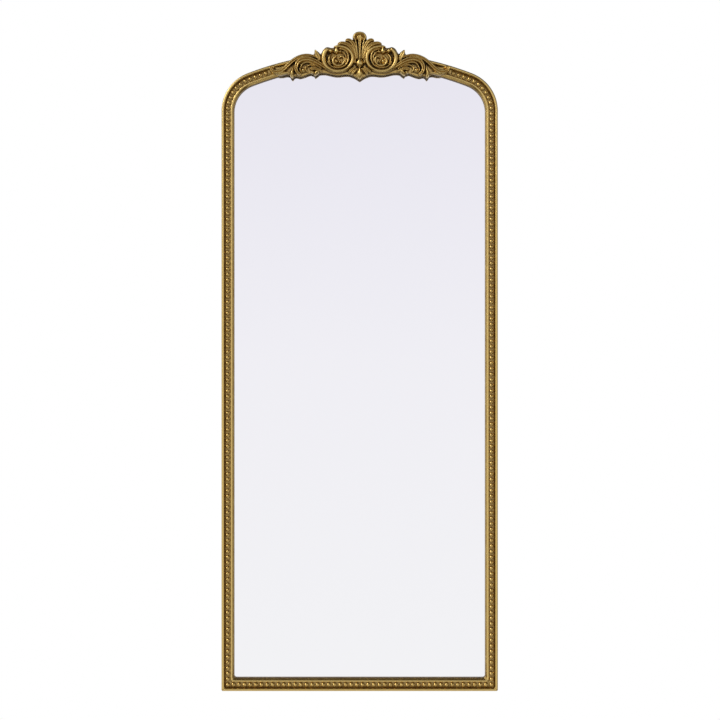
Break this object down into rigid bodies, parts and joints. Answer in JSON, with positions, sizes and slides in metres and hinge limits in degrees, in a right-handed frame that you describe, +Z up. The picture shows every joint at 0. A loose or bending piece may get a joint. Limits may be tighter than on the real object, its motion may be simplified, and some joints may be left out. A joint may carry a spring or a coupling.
{
  "type": "wall mirror",
  "caption": "Arched full-length wall mirror in an antique gold beaded frame with a carved leaf-and-scroll crest, hung by two rings on its back.",
  "frame": {"origin": "Midway between the two wall hooks that the hanger rings go over, on the plane of the wall.", "axes": "+X to the right as one looks at the mirror, +Y into the wall, +Z up; the glass faces -Y."},
  "size_m": [0.711, 0.048, 1.694],
  "materials": {
    "gilt_wood": "antique gold leaf paint over wood, satin, with dark patina in the hollows",
    "gilt_casting": "antique gold leaf paint over cast resin, satin, with dark patina in the hollows",
    "mirror": "polished silvered glass",
    "card": "plain",
    "board": "smooth hardboard",
    "beech": "bare",
    "zinc_steel": "zinc plated",
    "rubber": "matt"
  },
  "bodies": {
    "mirror": {"left_stile": "gilt_wood", "right_stile": "gilt_wood", "bottom_rail": "gilt_wood", "left_shoulder": "gilt_wood", "right_shoulder": "gilt_wood", "crown_rail": "gilt_wood", "left_beading": "gilt_casting", "right_beading": "gilt_casting", "bottom_beading": "gilt_casting", "left_shoulder_beading": "gilt_casting", "right_shoulder_beading": "gilt_casting", "mirror_glass": "mirror", "backing_card": "card", "back_board": "board", "joint_dowels": "beech", "turn_button_screws": "zinc_steel", "left_corner_brace": "zinc_steel", "right_corner_brace": "zinc_steel", "left_spring_plate": "zinc_steel", "right_spring_plate": "zinc_steel", "left_crown_plate": "zinc_steel", "right_crown_plate": "zinc_steel", "brace_screws": "zinc_steel", "left_hanger_plate": "zinc_steel", "right_hanger_plate": "zinc_steel", "hanger_screws": "zinc_steel", "crest_ground": "gilt_casting", "crest_palmette": "gilt_casting", "left_scroll": "gilt_casting", "right_scroll": "gilt_casting", "left_spray": "gilt_casting", "right_spray": "gilt_casting", "crest_screws": "zinc_steel", "wall_bumpers": "rubber"},
    "turn_button_1": {"turn_button_1": "zinc_steel"},
    "turn_button_2": {"turn_button_2": "zinc_steel"},
    "turn_button_3": {"turn_button_3": "zinc_steel"},
    "turn_button_4": {"turn_button_4": "zinc_steel"},
    "turn_button_5": {"turn_button_5": "zinc_steel"},
    "turn_button_6": {"turn_button_6": "zinc_steel"},
    "turn_button_7": {"turn_button_7": "zinc_steel"},
    "turn_button_8": {"turn_button_8": "zinc_steel"},
    "turn_button_9": {"turn_button_9": "zinc_steel"},
    "turn_button_10": {"turn_button_10": "zinc_steel"},
    "left_ring": {"left_ring": "zinc_steel"},
    "right_ring": {"right_ring": "zinc_steel"}
  },
  "joints": [
    {"name": "turn_button_1_swivel", "type": "hinge", "parent": "mirror", "child": "turn_button_1", "pos_m": [-0.34425, -0.0066, -1.113], "axis": [0, 1, 0], "range_deg": [-90, 90]},
    {"name": "turn_button_2_swivel", "type": "hinge", "parent": "mirror", "child": "turn_button_2", "pos_m": [-0.34425, -0.0066, -0.643], "axis": [0, 1, 0], "range_deg": [-90, 90]},
    {"name": "turn_button_3_swivel", "type": "hinge", "parent": "mirror", "child": "turn_button_3", "pos_m": [-0.34425, -0.0066, -0.173], "axis": [0, 1, 0], "range_deg": [-90, 90]},
    {"name": "turn_button_4_swivel", "type": "hinge", "parent": "mirror", "child": "turn_button_4", "pos_m": [0.34425, -0.0066, -1.113], "axis": [0, 1, 0], "range_deg": [-90, 90]},
    {"name": "turn_button_5_swivel", "type": "hinge", "parent": "mirror", "child": "turn_button_5", "pos_m": [0.34425, -0.0066, -0.643], "axis": [0, 1, 0], "range_deg": [-90, 90]},
    {"name": "turn_button_6_swivel", "type": "hinge", "parent": "mirror", "child": "turn_button_6", "pos_m": [0.34425, -0.0066, -0.173], "axis": [0, 1, 0], "range_deg": [-90, 90]},
    {"name": "turn_button_7_swivel", "type": "hinge", "parent": "mirror", "child": "turn_button_7", "pos_m": [-0.18, -0.0066, -1.33175], "axis": [0, 1, 0], "range_deg": [-90, 90]},
    {"name": "turn_button_8_swivel", "type": "hinge", "parent": "mirror", "child": "turn_button_8", "pos_m": [0.18, -0.0066, -1.33175], "axis": [0, 1, 0], "range_deg": [-90, 90]},
    {"name": "turn_button_9_swivel", "type": "hinge", "parent": "mirror", "child": "turn_button_9", "pos_m": [-0.10977, -0.0066, 0.2811], "axis": [0, 1, 0], "range_deg": [-90, 90]},
    {"name": "turn_button_10_swivel", "type": "hinge", "parent": "mirror", "child": "turn_button_10", "pos_m": [0.10977, -0.0066, 0.2811], "axis": [0, 1, 0], "range_deg": [-90, 90]},
    {"name": "left_ring_hinge", "type": "hinge", "parent": "mirror", "child": "left_ring", "pos_m": [-0.34425, -0.00325, -0.013], "axis": [1, 0, 0], "range_deg": [0, 180]},
    {"name": "right_ring_hinge", "type": "hinge", "parent": "mirror", "child": "right_ring", "pos_m": [0.34425, -0.00325, -0.013], "axis": [1, 0, 0], "range_deg": [0, 180]}
  ]
}
